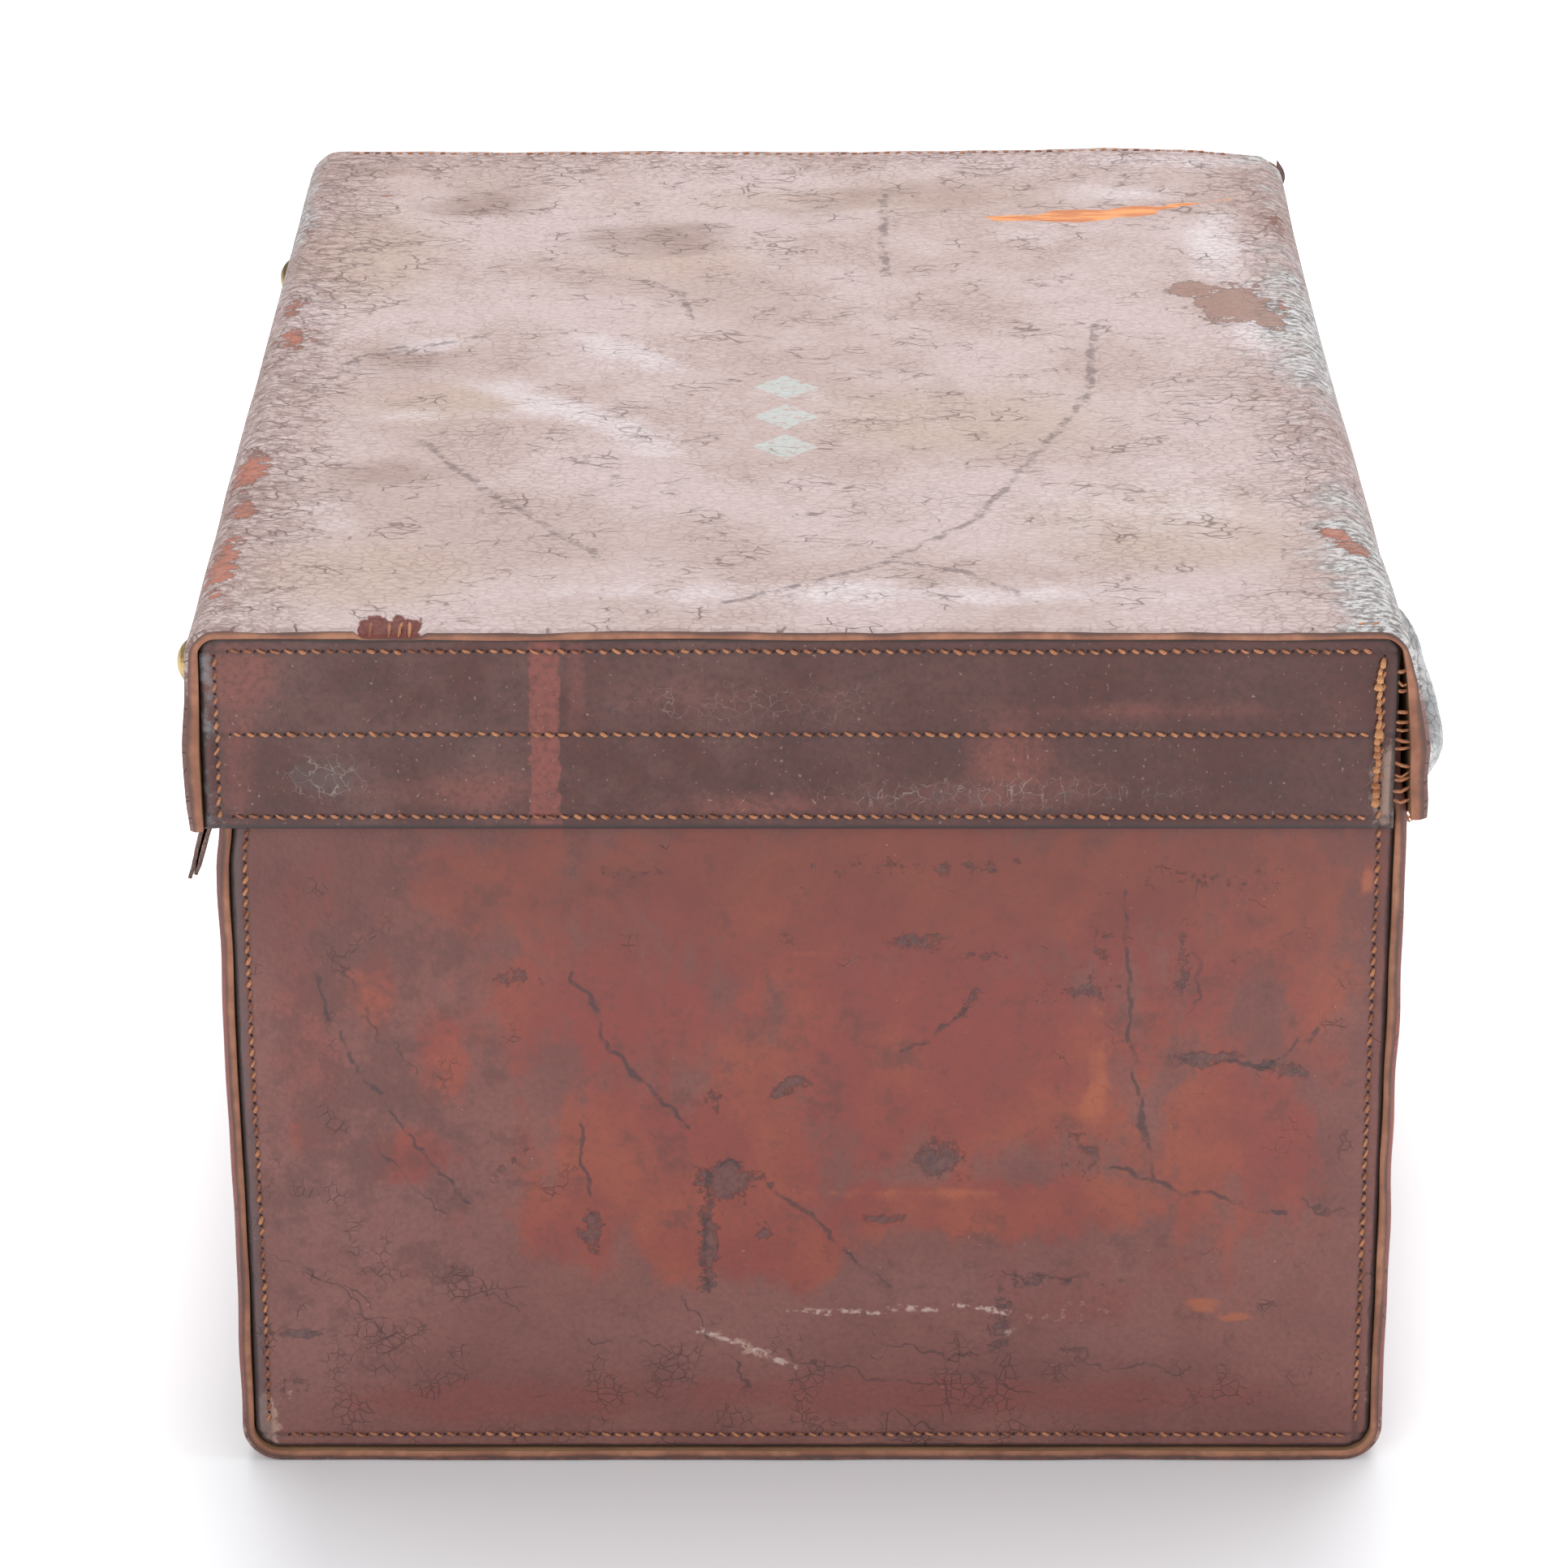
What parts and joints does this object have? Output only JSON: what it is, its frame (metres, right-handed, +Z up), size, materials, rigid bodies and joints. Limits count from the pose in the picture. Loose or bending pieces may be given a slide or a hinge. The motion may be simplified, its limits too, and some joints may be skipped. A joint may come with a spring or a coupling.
{
  "type": "hat box",
  "caption": "Rectangular leather hat box: sewn body, deep lid hinged on leather along the back, carrying handle and sliding-bolt lock on the front.",
  "frame": {"origin": "centre of the body's flat underside", "axes": "+Z up, +X to the front with the handle and the lock, +Y along the box's length"},
  "size_m": [0.4041, 0.508, 0.279],
  "materials": {
    "leather_red": "polished red-brown saddle leather, mottled, cracked and worn",
    "leather_dark": "dark red-brown saddle leather with a grey bloom",
    "leather_pale": "dry, chalky, crazed leather, worn at the edges",
    "leather_strap": "soft strap leather, rubbed grey on the outside",
    "linen": "plain woven linen over board, matt",
    "wood": "plain pine strip",
    "brass": "old brass, tarnished with bright rubbed spots",
    "steel": "dull steel"
  },
  "bodies": {
    "body": {"body_wrap": "leather_red", "body_end_near": "leather_red", "body_end_far": "leather_red", "lining_bottom": "linen", "lining_front": "linen", "lining_back": "linen", "lining_end_near": "linen", "lining_end_far": "linen", "hinge_body_leaf": "leather_strap", "handle_mount_near": "brass", "handle_mount_far": "brass", "handle_pin_near": "brass", "handle_pin_far": "brass", "handle_rivet_1": "brass", "handle_rivet_2": "brass", "handle_rivet_3": "brass", "handle_rivet_4": "brass", "handle_backplate_near": "brass", "handle_backplate_far": "brass", "lock_case": "brass", "lock_rivet_1": "brass", "lock_rivet_2": "brass", "lock_rivet_3": "brass", "lock_rivet_4": "brass", "lock_backplate": "brass"},
    "lid": {"lid_wrap": "leather_pale", "lid_end_near": "leather_dark", "lid_end_far": "leather_dark", "lid_lining_top": "linen", "lid_stop_front": "wood", "lid_stop_back": "wood", "lid_stop_near": "wood", "lid_stop_far": "wood", "hinge_lid_leaf": "leather_strap", "tongue_plate": "brass", "tongue_rivet_1": "brass", "tongue_rivet_2": "brass", "stud_near": "brass", "stud_far": "brass", "stud_washer_near": "brass", "stud_washer_far": "brass"},
    "handle": {"handle_core": "steel", "handle_grip": "leather_strap"},
    "bolt": {"lock_bolt": "steel", "lock_button": "brass"}
  },
  "joints": [
    {"name": "lid_hinge", "type": "hinge", "parent": "body", "child": "lid", "pos_m": [-0.1825, 0, 0.214], "axis": [0, -1, 0], "range_deg": [0, 170]},
    {"name": "handle_swing", "type": "hinge", "parent": "body", "child": "handle", "pos_m": [0.1815, 0, 0.17], "axis": [0, -1, 0], "range_deg": [-40, 80]},
    {"name": "lock_slide", "type": "slide", "parent": "body", "child": "bolt", "axis": [0, -1, 0], "range_m": [0, 0.005]}
  ]
}
